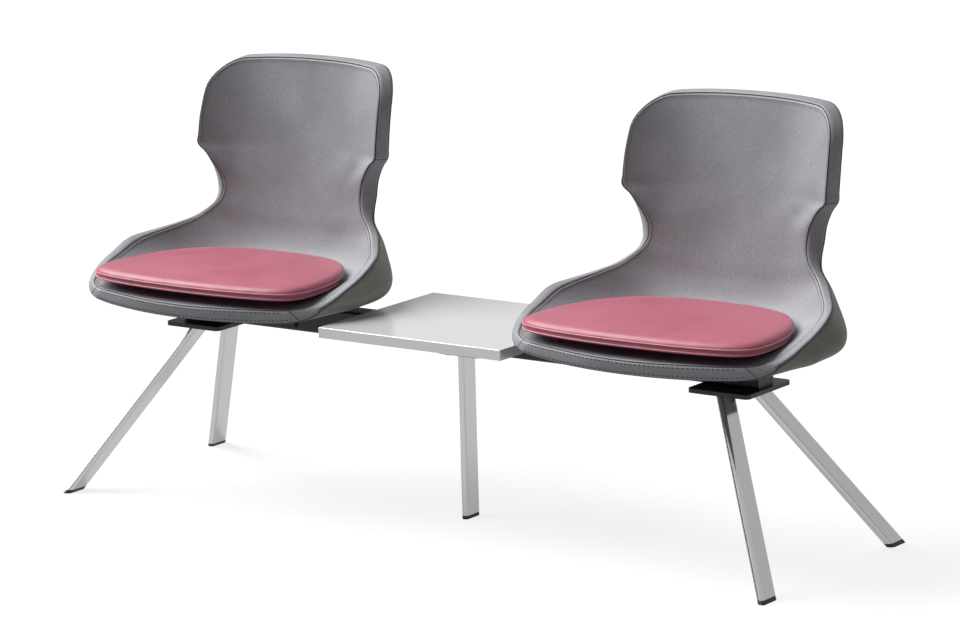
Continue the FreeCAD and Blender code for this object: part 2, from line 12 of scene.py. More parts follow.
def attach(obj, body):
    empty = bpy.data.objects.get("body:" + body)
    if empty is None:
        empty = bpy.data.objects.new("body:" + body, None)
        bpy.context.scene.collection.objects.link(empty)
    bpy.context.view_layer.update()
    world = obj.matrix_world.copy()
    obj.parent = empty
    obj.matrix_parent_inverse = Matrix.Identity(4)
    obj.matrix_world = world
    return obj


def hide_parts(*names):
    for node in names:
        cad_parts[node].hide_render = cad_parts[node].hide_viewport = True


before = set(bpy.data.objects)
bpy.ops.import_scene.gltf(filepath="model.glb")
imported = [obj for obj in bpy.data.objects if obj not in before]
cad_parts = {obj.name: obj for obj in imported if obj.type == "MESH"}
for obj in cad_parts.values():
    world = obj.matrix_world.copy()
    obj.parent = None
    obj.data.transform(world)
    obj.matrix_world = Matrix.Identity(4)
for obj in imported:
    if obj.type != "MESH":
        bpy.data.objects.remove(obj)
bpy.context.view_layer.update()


# Camera: a long lens at eye height, to the right of the bench and looking down a little.
# The angles come from the bench's feet, the table's corners and the seams of both seats.

CAMERA_PLACE = (4.714, -6.499, 2.085)
CAMERA_YAW = math.radians(35.76)
CAMERA_PITCH = math.radians(11.98)
CAMERA_ROLL = math.radians(-1.54)
LENS_MM = 163.6
FILM_MM = 36.0
FAR_CLIP = 200.0

camera = bpy.data.objects.new("camera", bpy.data.cameras.new("camera"))
bpy.context.scene.collection.objects.link(camera)
camera.data.sensor_width = FILM_MM
camera.data.lens = LENS_MM
camera.data.clip_end = FAR_CLIP
turn = Matrix.Rotation(CAMERA_YAW, 4, "Z") @ Matrix.Rotation(math.pi / 2 - CAMERA_PITCH, 4, "X")
camera.matrix_world = Matrix.Translation(CAMERA_PLACE) @ turn @ Matrix.Rotation(CAMERA_ROLL, 4, "Z")
bpy.context.scene.camera = camera
bpy.context.scene.view_settings.view_transform = "Standard"


# Floor and light: a translucent white studio table lit from below, so that shadows stay
# pale, a broad soft lamp high on the left, a faint one on the right, and a white room.

FLOOR_SIZE = 120.0
FLOOR_COLOUR = "F7F7F7"
FLOOR_GLOW = 0.82
GLOW_ON_THINGS = 0.17
GLOW_IN_CHROME = 0.42
ROOM_STRENGTH = 0.16
# Strength, spread, azimuth from -Y towards +X, and height, the last three in degrees.
LAMPS = {"key_lamp": (6.0, 50, -76, 46), "fill_lamp": (0.12, 60, 100, 30)}
# Dark and bright strips of the studio from far left, 0, to far right, 1, that chrome shows.
STRIPS = ((0.1, 0.06), (0.17, 0.45), (0.45, 0.66), (0.68, 0.6), (0.84, 0.46), (0.94, 0.1))
LEFT_END = 0.1
RIGHT_END = 0.7
WHITE = (1, 1, 1, 1)


def linear(hex_colour):
    """sRGB hex to linear RGBA: the standard curve, straight below 0.04045."""
    parts = [int(hex_colour[i:i + 2], 16) / 255 for i in (0, 2, 4)]
    return tuple(p / 12.92 if p <= 0.04045 else ((p + 0.055) / 1.055) ** 2.4 for p in parts) + (1.0,)


def add_node(tree, kind, inputs=None, **settings):
    """Adds a shader node, sets its properties and gives its inputs a value or a link."""
    made = tree.nodes.new(kind)
    for name, value in settings.items():
        setattr(made, name, value)
    for key, value in (inputs or {}).items():
        if isinstance(value, bpy.types.NodeSocket):
            tree.links.new(value, made.inputs[key])
        else:
            made.inputs[key].default_value = value
    return made


def new_material(name):
    """An empty material with its tree and its output node."""
    material = bpy.data.materials.new(name)
    material.use_nodes = True
    material.node_tree.nodes.clear()
    return material, material.node_tree, add_node(material.node_tree, "ShaderNodeOutputMaterial")


def make_object(name, points, faces, material):
    """A smooth-shaded mesh object from an array of points and one or more arrays of faces."""
    mesh = bpy.data.meshes.new(name)
    all_faces = [face for block in faces for face in np.asarray(block).tolist()]
    mesh.from_pydata(np.asarray(points).reshape(-1, 3).tolist(), [], all_faces)
    mesh.shade_smooth()
    mesh.materials.append(material)
    made = bpy.data.objects.new(name, mesh)
    bpy.context.scene.collection.objects.link(made)
    return made


for name, (strength, spread, azimuth, height) in LAMPS.items():
    lamp = bpy.data.objects.new(name, bpy.data.lights.new(name, "SUN"))
    lamp.data.energy = strength
    lamp.data.angle = math.radians(spread)
    lamp.matrix_world = (Matrix.Rotation(math.radians(azimuth), 4, "Z")
                         @ Matrix.Rotation(math.radians(90 - height), 4, "X"))
    bpy.context.scene.collection.objects.link(lamp)

# Opal acrylic sheet, lit from below: evenly white to the eye, with pale shadows. It lights
# what stands on it, and shows in chrome, more weakly.
floor_material, tree, output = new_material("opal_acrylic_sheet")
paint = add_node(tree, "ShaderNodeBsdfDiffuse", {"Color": linear(FLOOR_COLOUR)})
path = add_node(tree, "ShaderNodeLightPath")
glow = add_node(tree, "ShaderNodeMapRange",
                {0: path.outputs["Is Camera Ray"], 3: GLOW_ON_THINGS, 4: 1.0})
glow = add_node(tree, "ShaderNodeMath",
                {0: path.outputs["Is Glossy Ray"], 1: GLOW_IN_CHROME, 2: glow.outputs[0]},
                operation="MULTIPLY_ADD")
lit = add_node(tree, "ShaderNodeEmission", {"Strength": glow.outputs[0]})
sheet = add_node(tree, "ShaderNodeMixShader", {0: FLOOR_GLOW, 1: paint.outputs[0], 2: lit.outputs[0]})
tree.links.new(sheet.outputs[0], output.inputs[0])
edge = FLOOR_SIZE / 2
floor = make_object("floor", [(-edge, -edge, 0), (edge, -edge, 0), (edge, edge, 0), (-edge, edge, 0)],
                    [[(0, 1, 2, 3)]], floor_material)

world = bpy.data.worlds.new("studio")
world.use_nodes = True
bpy.context.scene.world = world
tree = world.node_tree
tree.nodes.clear()
path = add_node(tree, "ShaderNodeLightPath")
coordinates = add_node(tree, "ShaderNodeTexCoord")
direction = add_node(tree, "ShaderNodeSeparateXYZ", {0: coordinates.outputs["Generated"]})
sideways = add_node(tree, "ShaderNodeMapRange", {0: direction.outputs["X"], 1: -1.0, 2: 1.0})
bands = add_node(tree, "ShaderNodeValToRGB", {0: sideways.outputs[0]})
ramp = bands.color_ramp.elements
for place, grey in STRIPS:
    ramp.new(place).color = (grey, grey, grey, 1)
ramp[0].color = (LEFT_END, LEFT_END, LEFT_END, 1)
ramp[-1].color = (RIGHT_END, RIGHT_END, RIGHT_END, 1)
room = add_node(tree, "ShaderNodeBackground", {"Color": WHITE, "Strength": ROOM_STRENGTH})
seen = add_node(tree, "ShaderNodeBackground", {"Color": WHITE, "Strength": 1.0})
mirrored = add_node(tree, "ShaderNodeBackground", {"Color": bands.outputs[0], "Strength": 1.0})
shown = room
for ray, seen_by_ray in (("Is Glossy Ray", mirrored), ("Is Camera Ray", seen),
                         ("Is Transmission Ray", seen)):
    shown = add_node(tree, "ShaderNodeMixShader",
                     {0: path.outputs[ray], 1: shown.outputs[0], 2: seen_by_ray.outputs[0]})
tree.links.new(shown.outputs[0], add_node(tree, "ShaderNodeOutputWorld").inputs[0])


# Shell covers: the cut and sewn leather of one seat. An inner panel faces the sitter, an
# edge band runs round the rim, and an outer cover wraps the back and the underside. They
# hide the foam and the moulded shell, whose cross-sections they follow from front to top.

MM = 0.001
SEAT_PLACES = {"left": -0.505, "right": 0.505}
# Middle line of the shell: a level pan, a round bend and a back that leans. Millimetres.
RECLINE = math.radians(14)
BACK_TOP = (212, 814)
PAN_Z = 410
BEND_R = 95


def back_line(z):
    """Middle of the back at height z: a straight line that leans back, as (y, z)."""
    return BACK_TOP[0] - math.tan(RECLINE) * (BACK_TOP[1] - z), z


def bend_point(angle):
    """Middle of the bend between pan and back, by the angle from straight down."""
    z = PAN_Z + BEND_R
    y = back_line(z)[0] - BEND_R / math.cos(RECLINE)
    return y + BEND_R * math.sin(math.radians(angle)), z - BEND_R * math.cos(math.radians(angle))


# Each row: y and z of the middle, tilt of the section in degrees, half width at the seam,
# rise of the rim, power of the cross curve, thickness, flare and depth of the edge band,
# roundness and bulge of the back. Millimetres.
SECTIONS = np.array([
    (-290, 398, 90, 190, 1, 4.0, 28, 16, 12, 3.6, 8),
    (-238, 406, 90, 212, 1, 4.0, 29, 16, 12, 3.4, 10),
    (-190, 409, 90, 246, 1, 4.0, 30, 16, 10, 3.2, 14),
    (-163, 410, 90, 266, 4, 4.2, 31, 17, 6, 3.0, 18),
    (-134, 410, 90, 278, 13, 4.5, 31, 18, 2, 2.8, 22),
    (-104, 410, 90, 283, 24, 4.5, 32, 19, -1, 2.6, 28),
    (-56, 410, 79, 284, 37, 4.5, 32, 20, -4, 2.6, 34),
    (25, 410, 65, 277, 65, 4.2, 33, 20, -5, 2.6, 40),
    (*bend_point(22), 60, 258, 73, 3.8, 33, 20, 0, 2.4, 34),
    (*bend_point(50), 50, 233, 63, 3.2, 32, 20, 5, 2.2, 22),
    (*bend_point(75), 44, 206, 40, 2.8, 32, 20, 10, 1.9, 14),
    (*back_line(515), 45, 177, 29, 2.5, 32, 21, 16, 1.6, 8),
    (*back_line(538), 40, 170, 26, 2.4, 32, 23, 20, 1.4, 4),
    (*back_line(562), 27, 171, 28, 2.4, 32, 25, 22, 1.3, 0),
    (*back_line(606), 10, 188, 46, 2.5, 33, 19, 27, 1.2, 0),
    (*back_line(627), 6, 202, 54, 2.6, 33, 14, 31, 1.2, 0),
    (*back_line(646), 2, 218, 60, 2.6, 33, 10, 33, 1.2, 0),
    (*back_line(705), 0, 217, 64, 2.6, 33, 12, 28, 1.2, 0),
    (*back_line(763), 0, 212, 59, 2.8, 33, 13, 26, 1.2, 0),
    (*back_line(805), 0, 206, 47, 3.0, 33, 13, 25, 1.2, 0),
    (*back_line(845), 0, 200, 28, 3.0, 33, 13, 25, 1.2, 0),
])
KNOTS = np.concatenate([[0], np.cumsum(np.hypot(*np.diff(SECTIONS[:, :2], axis=0).T))])
# The section at the wing fold, half the fold's length in millimetres, and how many sections
# the level pan has.
WING = 16
WING_W = KNOTS[WING]
WING_ROUND = 18
FLAT_PAN = 8

# Where the panels end at the top and in front, and where the bulge fades in. Millimetres. A
# top corner is given by how far out its arc starts, and its radius.
TOP_SIDE_Z = 811
TOP_ARCH = 5
RIM_LIFT = 1
SEAM_CORNER = (154, 58)
RIM_CORNER = (163, 66)
FRONT_SEAM_Y = -237
FRONT_SWEEP = 1404
FRONT_WIDTH_Y = -192
FRONT_CORNER_START = 0.90
FRONT_CORNER_DEPTH = 25
LIP_SET_BACK = 9
BULGE_START_Y = -165
BULGE_RUN = 90


def cubic(knots, values, w):
    """Cubic from knot to knot. Its slope at a knot is the mean of the slopes on both sides,
    in which the shorter side counts for more."""
    step = np.diff(knots)[:, None]
    slope = np.diff(values, axis=0) / step
    inner = (step[1:] * slope[:-1] + step[:-1] * slope[1:]) / (step[1:] + step[:-1])
    tangent = np.concatenate([slope[:1], inner, slope[-1:]])
    i = np.clip(np.searchsorted(knots, w, side="right") - 1, 0, len(knots) - 2)
    h = (knots[i + 1] - knots[i])[..., None]
    t = ((w - knots[i])[..., None]) / h
    return ((2 * t**3 - 3 * t**2 + 1) * values[i] + (t**3 - 2 * t**2 + t) * h * tangent[i]
            + (3 * t**2 - 2 * t**3) * values[i + 1] + (t**3 - t**2) * h * tangent[i + 1])


def section_at(w):
    """All section sizes at distance w along the middle line. At the wing fold a smooth step,
    share ** 2 * (3 - 2 * share), leads from the seat's sizes to those of the back."""
    seat = cubic(KNOTS[:WING + 1], SECTIONS[:WING + 1], w)
    back = cubic(KNOTS[WING:], SECTIONS[WING:], w)
    share = ((w - WING_W) / WING_ROUND / 2 + 0.5).clip(0, 1)[..., None]
    share = share**2 * (3 - 2 * share)
    return np.moveaxis(seat * (1 - share) + back * share, -1, 0)


def in_section(y, z, tilt, x, depth):
    """Point at x across and depth backwards, in a section plane tilted back by tilt."""
    angle = np.radians(tilt)
    return np.stack([x, y + depth * np.cos(angle), z - depth * np.sin(angle)], -1)


def inner_surface(w, v):
    """Sitter's face: x = v * half, and it rises to the rim by rise * |v| ** power."""
    y, z, tilt, half, rise, power = section_at(w)[:6]
    return in_section(y, z, tilt, v * half, -rise * np.abs(v) ** power)


def outer_surface(w, v):
    """Back: a squared ellipse whose depth goes from the band's outer edge to the thickness as
    side ** (2 / roundness), with side = sqrt(1 - |v| ** power). In between it is wider by the
    bulge, as 2 * bulge * |v| ** (power / 2) * side."""
    y, z, tilt, half, rise, power, thick, flare, depth, roundness, bulge = section_at(w)
    a = np.abs(v)
    side = np.sqrt(1 - a**power)
    bulge = bulge * ((y - BULGE_START_Y) / BULGE_RUN).clip(0, 1)
    x = (half + flare) * a + 2 * bulge * a ** (power / 2) * side
    edge = depth - rise
    return in_section(y, z, tilt, np.sign(v) * x, edge + (thick - edge) * side ** (2 / roundness))


def top_edge(v, corner, lift):
    """Distance along the back where a panel ends: a parabola as a flat arch, and a quarter
    circle down at each corner."""
    start, radius = corner
    x = np.abs(v) * (start + radius)
    drop = radius - np.sqrt(np.maximum(radius**2 - np.maximum(x - start, 0) ** 2, 0))
    z = TOP_SIDE_Z + lift + TOP_ARCH * (1 - (x / start).clip(0, 1) ** 2) - drop
    return WING_W + (z - SECTIONS[WING, 1]) / math.cos(RECLINE)


def front_edge(v, set_back):
    """Distance along the pan where a panel ends: a parabola, x ** 2 / sweep, and a quarter
    ellipse back at each corner."""
    share = ((np.abs(v) - FRONT_CORNER_START) / (1 - FRONT_CORNER_START)).clip(0, 1)
    half = np.interp(FRONT_WIDTH_Y, SECTIONS[:FLAT_PAN, 0], SECTIONS[:FLAT_PAN, 3])
    y = (FRONT_SEAM_Y + set_back + (v * half) ** 2 / FRONT_SWEEP
         + FRONT_CORNER_DEPTH * (1 - np.sqrt(1 - share**2)))
    return np.interp(y, SECTIONS[:FLAT_PAN, 0], KNOTS[:FLAT_PAN])


# Rows and columns of a panel lie closer together at its edges and at the wing fold.
SEAT_ROWS = 150
BACK_ROWS = 60
COLUMNS = 121
across = np.sin(np.linspace(-1, 1, COLUMNS) * math.pi / 2)
up_seat = (1 - np.cos(np.linspace(0, 1, SEAT_ROWS) * math.pi)) / 2
up_back = (1 - np.cos(np.linspace(0, 1, BACK_ROWS)[1:] * math.pi)) / 2


def panel_rows(low, high):
    """Distances along the middle line, from the front edge to the fold and on to the top."""
    return np.concatenate([low + up_seat[:, None] * (WING_W - low),
                           WING_W + up_back[:, None] * (high - WING_W)])


def rim_of(grid):
    """The edge of a grid as one closed loop: right side up, top, left side down, front."""
    return np.concatenate([grid[:-1, -1], grid[-1, :0:-1], grid[:0:-1, 0], grid[0, :-1]])


def unit(vectors):
    """The same directions with length 1."""
    return vectors / np.maximum(np.linalg.norm(vectors, axis=-1, keepdims=True), 1e-12)


def grid_normals(grid):
    """Normals towards the sitter: across direction times up direction."""
    return unit(np.cross(np.gradient(grid, axis=1), np.gradient(grid, axis=0)))


SEAM_DIP = 1.6 * MM
SEAM_ROLL = 3.0 * MM
SEAM_WIDTH = 0.6 * SEAM_ROLL
RIDGE = 0.7 * MM
RIDGE_AWAY = 1.8 * SEAM_ROLL


def seam_relief(distance):
    """Height of leather beside a seam: a bell curve down at the stitch line and a wider one
    up beside it, as a low ridge."""
    return (RIDGE * np.exp(-((distance - RIDGE_AWAY) / SEAM_ROLL) ** 2)
            - SEAM_DIP * np.exp(-(distance / SEAM_WIDTH) ** 2))


def edge_distance(grid):
    """Smallest distance of each grid point from the four edges, along rows and columns."""
    up = np.linalg.norm(np.diff(grid, axis=0), axis=-1)
    up = np.concatenate([np.zeros((1, grid.shape[1])), np.cumsum(up, axis=0)])
    side = np.linalg.norm(np.diff(grid, axis=1), axis=-1)
    side = np.concatenate([np.zeros((grid.shape[0], 1)), np.cumsum(side, axis=1)], axis=1)
    return np.minimum(np.minimum(up, up[-1] - up), np.minimum(side, side[:, -1:] - side))


def grid_faces(rows, columns, closed=False):
    """Quads of a grid; in a closed one the last row joins the first."""
    i = np.arange(rows if closed else rows - 1)[:, None]
    j = np.arange(columns - 1)[None, :]
    below = i * columns + j
    above = ((i + 1) % rows) * columns + j
    return np.stack([below, below + 1, above + 1, above], -1).reshape(-1, 4)


# The hide's shade wanders over about a hand's width.
CLOUD_MM = 111


def leather(name, colour, dark, roughness, grain_mm):
    """Finished leather: pebble and drawn-out fibre grain, soft cloudy colour, wax coat."""
    material, tree, output = new_material(name)
    place = add_node(tree, "ShaderNodeTexCoord").outputs["Object"]
    clouds = add_node(tree, "ShaderNodeTexNoise",
                      {"Vector": place, "Scale": 1 / (CLOUD_MM * MM), "Detail": 4.0})
    grain = 1 / (grain_mm * MM)
    pebbles = add_node(tree, "ShaderNodeTexVoronoi", {"Vector": place, "Scale": grain},
                       feature="SMOOTH_F1")
    drawn = add_node(tree, "ShaderNodeMapping", {"Vector": place, "Scale": (1, 1, 0.4)})
    fibres = add_node(tree, "ShaderNodeTexNoise",
                      {"Vector": drawn.outputs[0], "Detail": 3.0, "Scale": grain})
    shade = add_node(tree, "ShaderNodeMath", {0: clouds.outputs[0], 1: fibres.outputs[0]},
                     operation="MULTIPLY")
    tint = add_node(tree, "ShaderNodeMapRange", {0: shade.outputs[0], 1: 0.12, 2: 0.42})
    dye = add_node(tree, "ShaderNodeMix", {0: tint.outputs[0], 6: linear(dark), 7: linear(colour)},
                   data_type="RGBA")
    wear = add_node(tree, "ShaderNodeMapRange",
                    {0: clouds.outputs[0], 1: 0.3, 2: 0.7, 3: roughness - 0.05, 4: roughness + 0.06})
    height = add_node(tree, "ShaderNodeMath", {0: pebbles.outputs["Distance"], 1: fibres.outputs[0]},
                      operation="ADD")
    relief = add_node(tree, "ShaderNodeBump",
                      {"Height": height.outputs[0], "Strength": 0.6, "Distance": 0.25 * MM})
    skin = add_node(tree, "ShaderNodeBsdfPrincipled",
                    {"Base Color": dye.outputs[2], "Roughness": wear.outputs[0],
                     "Normal": relief.outputs[0], "IOR": 1.48, "Specular IOR Level": 0.45})
    tree.links.new(skin.outputs[0], output.inputs[0])
    return material


# Corrected-grain upholstery leather with a matt wax finish: soft, even and only faintly
# shiny. Its pebble is about 1.4 mm, drawn as 2.4 mm so that it shows.
shell_leather = leather("corrected_grain_grey_leather", "95959B", "7D7D82", 0.52, 2.4)
# The same hide on the back and underside, a touch greener, and painted darker there as shade.
shaded_cover_leather = leather("corrected_grain_leather_painted_shade", "878981", "71736B", 0.54, 2.4)


def finish_piece(piece, replaced=()):
    """Fixes a piece of the part to its body and hides the nodes it stands for."""
    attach(piece, "root")
    if replaced:
        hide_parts(*replaced)


def add_thickness(piece, thickness):
    """Gives a sheet its thickness, inwards from the face that shows."""
    wall = piece.modifiers.new("thickness", "SOLIDIFY")
    wall.thickness = thickness
    wall.offset = -1.0


LEATHER_T = 1.6 * MM
BAND_STEPS = 19
BAND_PUFF = 2.6 * MM
FRONT_PUFF = 4.5 * MM
# The rim's direction is taken over this many points each way.
TANGENT_STEP = 3

# The panel is drawn in a little below each wing, by a bell curve: its depth, its place and
# spread down the panel in millimetres, and both across it as shares of the half width.
DIMPLE_DEPTH = 4.2 * MM
DIMPLE_BELOW = 34
DIMPLE_REACH = 32
DIMPLE_V = 0.76
DIMPLE_SPREAD = 0.13

inner_w = panel_rows(front_edge(across, 0), top_edge(across, SEAM_CORNER, 0))
outer_w = panel_rows(front_edge(across, LIP_SET_BACK), top_edge(across, RIM_CORNER, RIM_LIFT))
v_grid = np.broadcast_to(across, inner_w.shape)
inner_grid = inner_surface(inner_w, v_grid) * MM
outer_grid = outer_surface(outer_w, v_grid) * MM
inner_normals = grid_normals(inner_grid)
outer_normals = -grid_normals(outer_grid)

dimple = DIMPLE_DEPTH * np.exp(-((inner_w - WING_W + DIMPLE_BELOW) / DIMPLE_REACH) ** 2
                               - ((np.abs(v_grid) - DIMPLE_V) / DIMPLE_SPREAD) ** 2)
inner_height = seam_relief(edge_distance(inner_grid)) - dimple
inner_relief = inner_grid + inner_normals * inner_height[..., None]
outer_relief = outer_grid + outer_normals * seam_relief(edge_distance(outer_grid))[..., None]

inner_rim = rim_of(inner_grid)
outer_rim = rim_of(outer_grid)
span = outer_rim - inner_rim
width = np.linalg.norm(span, axis=-1)
tangent = unit(np.roll(inner_rim, -TANGENT_STEP, axis=0) - np.roll(inner_rim, TANGENT_STEP, axis=0))
band_out = unit(np.cross(unit(span), tangent))
front_share = np.clip(-band_out[:, 1], 0, 1) ** 2
puff = BAND_PUFF + (FRONT_PUFF - BAND_PUFF) * front_share


def band_loop(share):
    """Loop round the seat at a share of the way over the band, which puffs out between
    its seams by puff * (1 - (2 * share - 1) ** 4) and dips at each of them."""
    near = np.minimum(share, 1 - share) * width
    height = puff * (1 - (2 * share - 1) ** 4) - SEAM_DIP * np.exp(-(near / SEAM_WIDTH) ** 2)
    return inner_rim + span * share + band_out * height[:, None]


band_shares = (1 - np.cos(np.linspace(0, 1, BAND_STEPS) * math.pi)) / 2
band_grid = np.stack([band_loop(share) for share in band_shares], axis=1)
panel_faces = grid_faces(*inner_w.shape)
band_faces = grid_faces(len(band_grid), BAND_STEPS, closed=True)

for side, place in SEAT_PLACES.items():
    shift = np.array([place, 0, 0])
    panel = make_object("inner_panel_" + side, inner_relief + shift, [panel_faces], shell_leather)
    add_thickness(panel, LEATHER_T)
    finish_piece(panel, ["inner_cover_" + side, "foam_layer_" + side])
    back = make_object("outer_panel_" + side, outer_relief + shift, [panel_faces[:, ::-1]], shaded_cover_leather)
    add_thickness(back, LEATHER_T)
    finish_piece(back, ["outer_cover_" + side, "moulded_shell_" + side])
    band = make_object("edge_band_" + side, band_grid + shift, [band_faces], shell_leather)
    add_thickness(band, LEATHER_T)
    finish_piece(band, ["border_band_" + side])


# Seams: the line where band and panels are sewn together, drawn as a cord painted dark as the
# groove's shadow round the rim, and the joins across the band at the wings and at the front corners.

SEAM_LINE_RADIUS = 1.1 * MM
SEAM_LINE_DEPTH = 1.1 * MM
CROSS_SEAM_RADIUS = 0.8 * MM
CROSS_SEAM_DEPTH = 0.35 * MM
CORD_SIDES = 8
# The joins at the front corners lie this many columns in from the band's front ends.
CORNER_COLUMN = 11

# Leather turned in at a seam, dull, and painted nearly black as its own shadow.
seam_shadow_leather = leather("turned_in_leather_painted_shadow", "2B2B2E", "242427", 0.7, 1.4)


def cord(path, normals, radius, closed):
    """Round cord along a path: a circle carried along it, square to its direction. The ends
    of an open one are sunk in the seams that it runs between."""
    ahead = np.roll(path, -1, axis=0) if closed else np.concatenate([path[1:], path[-1:]])
    behind = np.roll(path, 1, axis=0) if closed else np.concatenate([path[:1], path[:-1]])
    beside = unit(np.cross(unit(normals), unit(ahead - behind)))
    angle = np.arange(CORD_SIDES) / CORD_SIDES * 2 * math.pi
    points = (path[:, None] + radius * np.cos(angle)[None, :, None] * beside[:, None]
              + radius * np.sin(angle)[None, :, None] * unit(normals)[:, None])
    i = np.arange(len(path) if closed else len(path) - 1)[:, None]
    j = np.arange(CORD_SIDES)[None, :]
    here = i * CORD_SIDES
    after = (i + 1) % len(path) * CORD_SIDES
    turned = (j + 1) % CORD_SIDES
    quads = np.stack([here + j, here + turned, after + turned, after + j], -1)
    return points.reshape(-1, 3), quads.reshape(-1, 4)


def joined(parts):
    """Several sets of points and faces as one set; the faces count on from set to set."""
    starts = np.cumsum([0] + [len(points) for points, faces in parts])
    return (np.concatenate([points for points, faces in parts]),
            np.concatenate([faces + start for (points, faces), start in zip(parts, starts)]))


inner_rim_normals = rim_of(inner_normals)
outer_rim_normals = rim_of(outer_normals)
right_wing = SEAT_ROWS - 1
left_wing = 2 * (len(inner_w) - 1) + (COLUMNS - 1) - right_wing
front_start = len(inner_rim) - (COLUMNS - 1)
seam_parts = [cord(rim - normals * SEAM_LINE_DEPTH, normals, SEAM_LINE_RADIUS, True)
              for rim, normals in ((inner_rim, inner_rim_normals), (outer_rim, outer_rim_normals))]
for row in (right_wing, left_wing, front_start + CORNER_COLUMN, len(inner_rim) - CORNER_COLUMN):
    line = band_grid[row, 1:-1]
    seam_parts.append(cord(line - band_out[row] * CROSS_SEAM_DEPTH,
                           np.broadcast_to(band_out[row], line.shape), CROSS_SEAM_RADIUS, False))
seam_points, seam_faces = joined(seam_parts)
for side, place in SEAT_PLACES.items():
    shift = np.array([place, 0, 0])
    seams = make_object("seams_" + side, seam_points + shift, [seam_faces], seam_shadow_leather)
    finish_piece(seams)


# Stitches: lockstitch thread that shows as short dashes, two rows across the front of the
# band and a fine row on the panel beside its seam. Each stitch dips into the leather.

STITCH_PITCH = 9.4 * MM
STITCH_LENGTH = 6.0 * MM
STITCH_RADIUS = 0.95 * MM
# Where the two rows lie as shares of the band's width, and how many columns are left free
# at each end.
ROW_SHARES = (0.16, 0.74)
ROW_MARGIN = 16
FINE_PITCH = 5.5 * MM
FINE_LENGTH = 3.6 * MM
FINE_RADIUS = 0.35 * MM
FINE_INSET = 5.0 * MM
STITCH_SIDES = 6
# Rings of one stitch: place along it in lengths, and size and height in radii.
STITCH_RINGS = ((-0.4, 0.8, 0.1), (0.0, 1.0, 0.4), (0.4, 0.8, 0.1))

# Bonded polyester sewing thread: dull, and flecked by its twist.
TWIST_MM = 1.11
thread, tree, output = new_material("bonded_polyester_thread")
place = add_node(tree, "ShaderNodeTexCoord").outputs["Object"]
twist = add_node(tree, "ShaderNodeTexNoise", {"Vector": place, "Scale": 1 / (TWIST_MM * MM)})
lay = add_node(tree, "ShaderNodeMix", {0: twist.outputs[0], 6: linear("26262A"), 7: linear("38383C")},
               data_type="RGBA")
yarn = add_node(tree, "ShaderNodeBsdfPrincipled", {"Base Color": lay.outputs[2], "Roughness": 0.7})
tree.links.new(yarn.outputs[0], output.inputs[0])


def one_stitch(length, radius):
    """One stitch along x: three rings and two tips that are sunk below z = 0."""
    angle = np.arange(STITCH_SIDES) / STITCH_SIDES * 2 * math.pi
    rings = [np.stack([np.full(STITCH_SIDES, x * length), size * radius * np.cos(angle),
                       size * radius * np.sin(angle) + height * radius], -1)
             for x, size, height in STITCH_RINGS]
    tips = np.array([(-0.5 * length, 0, -radius), (0.5 * length, 0, -radius)])
    i = np.arange(STITCH_SIDES)
    j = (i + 1) % STITCH_SIDES
    quads = [np.stack([i + k, j + k, j + k + STITCH_SIDES, i + k + STITCH_SIDES], -1)
             for k in (0, STITCH_SIDES)]
    first = np.full(STITCH_SIDES, 3 * STITCH_SIDES)
    last = 2 * STITCH_SIDES
    caps = [np.stack([first, j, i], -1), np.stack([first + 1, last + i, last + j], -1)]
    return np.concatenate(rings + [tips]), np.concatenate(quads), np.concatenate(caps)


def stitch_row(path, normals, pitch, length, radius):
    """Stitches spaced by pitch along a path, each turned to lie on the surface."""
    travel = np.concatenate([[0], np.cumsum(np.linalg.norm(np.diff(path, axis=0), axis=-1))])
    at = np.arange(pitch / 2, travel[-1], pitch)

    def along_path(where, values):
        return np.stack([np.interp(where, travel, values[:, k]) for k in range(3)], -1)

    up = unit(along_path(at, normals))
    along = unit(along_path(at + pitch / 4, path) - along_path(at - pitch / 4, path))
    beside = np.cross(up, along)
    shape, quads, caps = one_stitch(length, radius)
    points = (along_path(at, path)[:, None] + shape[None, :, :1] * along[:, None]
              + shape[None, :, 1:2] * beside[:, None] + shape[None, :, 2:] * up[:, None])
    first = np.arange(len(at))[:, None, None] * len(shape)
    return points.reshape(-1, 3), (quads + first).reshape(-1, 4), (caps + first).reshape(-1, 3)


front = slice(front_start + ROW_MARGIN, front_start + COLUMNS - ROW_MARGIN)
front_rows = [stitch_row(band_loop(share)[front], band_out[front],
                         STITCH_PITCH, STITCH_LENGTH, STITCH_RADIUS) for share in ROW_SHARES]
front_points, front_quads = joined([(points, quads) for points, quads, caps in front_rows])
front_caps = joined([(points, caps) for points, quads, caps in front_rows])[1]
inwards = unit(np.cross(inner_rim_normals, tangent))
fine_path = inner_rim + inwards * FINE_INSET + inner_rim_normals * RIDGE
fine_points, fine_quads, fine_caps = stitch_row(fine_path, inner_rim_normals,
                                                FINE_PITCH, FINE_LENGTH, FINE_RADIUS)
for side, place in SEAT_PLACES.items():
    shift = np.array([place, 0, 0])
    dashes = make_object("front_stitches_" + side, front_points + shift,
                         [front_quads, front_caps], thread)
    finish_piece(dashes)
    dashes = make_object("rim_stitches_" + side, fine_points + shift,
                         [fine_quads, fine_caps], thread)
    finish_piece(dashes)


# Seat pad: a loose foam cushion in rose leather. The top panel rolls over the edge to an
# upper seam, a narrow side band follows, and the bottom panel tucks under, over the board.

PAD_HALF = 253 * MM
PAD_MIDDLE_Y = -180 * MM
PAD_REAR_Y = 112 * MM
PAD_FRONT_Y = -232 * MM
PAD_REAR_POWER = 2.8
PAD_FRONT_POWER = 2.1
PAD_CENTRE = np.array([0, -70 * MM])
PAD_TOP = 452 * MM
PAD_CROWN = 7 * MM
CROWN_POWER = 2.6
PAD_AROUND = 240
FINE_AROUND = 2000
PAD_TOP_STEPS = 34
CORNER_PASSES = 9
DIRECTION_PASSES = 6

